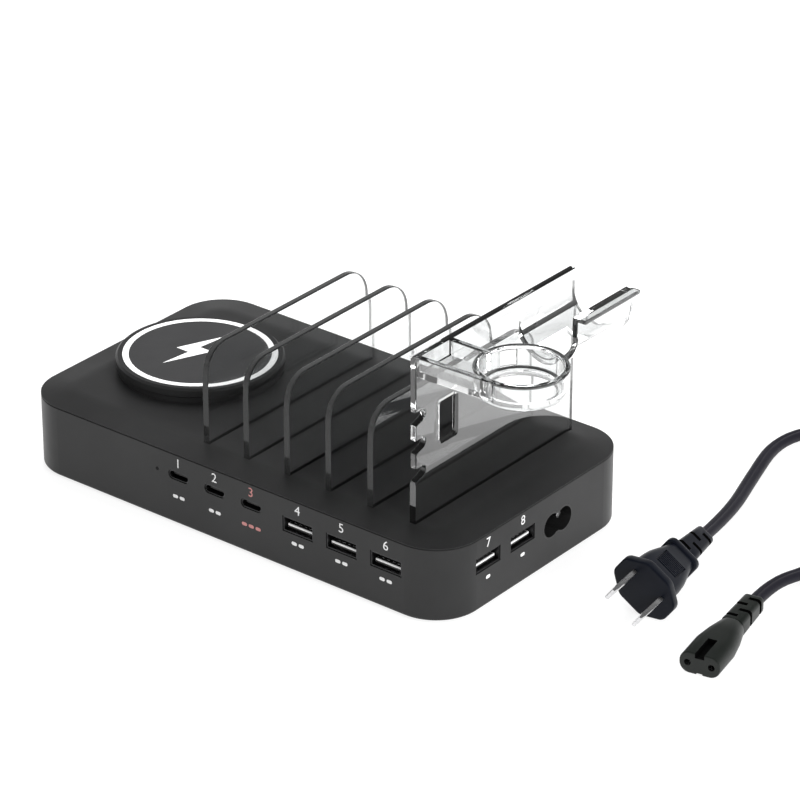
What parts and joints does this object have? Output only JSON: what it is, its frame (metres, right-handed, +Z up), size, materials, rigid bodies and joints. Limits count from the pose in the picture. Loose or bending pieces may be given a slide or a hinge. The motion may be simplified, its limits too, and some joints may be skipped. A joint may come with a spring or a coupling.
{
  "type": "charging station organizer",
  "caption": "Desktop charging station: flat black base with USB sockets and a wireless puck, clear upright dividers, a clear holder with watch ring and earbud cradle, and a mains lead.",
  "frame": {"origin": "middle of the base on the standing surface, 0.8 mm under the casing's underside", "axes": "+X along the base towards the side with the mains inlet, -Y out of the long face with the USB sockets, +Z up"},
  "size_m": [0.34, 0.2122, 0.0929],
  "materials": {
    "casing": "satin black moulded plastic",
    "foot_rubber": "soft matte rubber",
    "clear_acrylic": "clear polished acrylic",
    "screw_steel": "zinc plated",
    "puck_pad": "fine matte",
    "light_white": "white, slightly diffusing",
    "copper": "enamelled copper wire",
    "ferrite": "sintered grey",
    "circuit_board": "green solder mask",
    "wire": "soft insulation",
    "capacitor": "printed sleeve left bare",
    "aluminium": "extruded",
    "socket_metal": "nickel plated shell",
    "tongue_white": "moulded",
    "tongue_dark": "moulded",
    "status_lens": "smoked light pipe",
    "inlet_plastic": "moulded",
    "contact_metal": "nickel plated",
    "cord_jacket": "flat twin jacket, satin",
    "cord_tie": "strap",
    "plug_plastic": "overmoulded, satin",
    "connector_plastic": "overmoulded, satin"
  },
  "bodies": {
    "base": {"base_tray": "casing", "top_cover": "casing", "puck_housing": "casing", "foot_front_left": "foot_rubber", "foot_front_right": "foot_rubber", "foot_back_left": "foot_rubber", "foot_back_right": "foot_rubber", "cover_screws": "screw_steel", "board_screws": "screw_steel", "puck_pad": "puck_pad", "puck_ring": "light_white", "bolt_mark": "light_white", "charging_coil": "copper", "transformer_winding": "copper", "choke": "copper", "ferrite_disc": "ferrite", "transformer_core": "ferrite", "main_board": "circuit_board", "port_board": "circuit_board", "coil_board": "circuit_board", "coil_lead": "wire", "port_ribbon": "wire", "bulk_capacitor_1": "capacitor", "bulk_capacitor_2": "capacitor", "heat_sink": "aluminium", "usb_a_shell_1": "socket_metal", "usb_a_shell_2": "socket_metal", "usb_a_shell_3": "socket_metal", "usb_a_shell_4": "socket_metal", "usb_a_shell_5": "socket_metal", "usb_c_shell_1": "socket_metal", "usb_c_shell_2": "socket_metal", "usb_c_shell_3": "socket_metal", "usb_a_tongue_1": "tongue_white", "usb_a_tongue_2": "tongue_white", "usb_a_tongue_3": "tongue_white", "usb_a_tongue_4": "tongue_white", "usb_a_tongue_5": "tongue_white", "usb_c_tongue_1": "tongue_dark", "usb_c_tongue_2": "tongue_dark", "usb_c_tongue_3": "tongue_dark", "status_light": "status_lens", "inlet_socket": "inlet_plastic", "inlet_pins": "contact_metal", "connector_sleeves": "contact_metal", "plug_blades": "contact_metal", "cord_connector_run": "cord_jacket", "cord_coil": "cord_jacket", "cord_plug_run": "cord_jacket", "cord_tie": "cord_tie", "plug_body": "plug_plastic", "plug_boot": "plug_plastic", "connector_body": "connector_plastic", "connector_boot": "connector_plastic"},
    "divider_1_plate": {"divider_1": "clear_acrylic"},
    "divider_2_plate": {"divider_2": "clear_acrylic"},
    "divider_3_plate": {"divider_3": "clear_acrylic"},
    "divider_4_plate": {"divider_4": "clear_acrylic"},
    "divider_5_plate": {"divider_5": "clear_acrylic"},
    "device_holder_plate": {"device_holder": "clear_acrylic"}
  },
  "joints": [
    {"name": "divider_1_lift", "type": "slide", "parent": "base", "child": "divider_1_plate", "axis": [0, 0, 1], "range_m": [0, 0.05]},
    {"name": "divider_2_lift", "type": "slide", "parent": "base", "child": "divider_2_plate", "axis": [0, 0, 1], "range_m": [0, 0.05]},
    {"name": "divider_3_lift", "type": "slide", "parent": "base", "child": "divider_3_plate", "axis": [0, 0, 1], "range_m": [0, 0.05]},
    {"name": "divider_4_lift", "type": "slide", "parent": "base", "child": "divider_4_plate", "axis": [0, 0, 1], "range_m": [0, 0.05]},
    {"name": "divider_5_lift", "type": "slide", "parent": "base", "child": "divider_5_plate", "axis": [0, 0, 1], "range_m": [0, 0.05]},
    {"name": "device_holder_lift", "type": "slide", "parent": "base", "child": "device_holder_plate", "axis": [0, 0, 1], "range_m": [0, 0.05]}
  ]
}
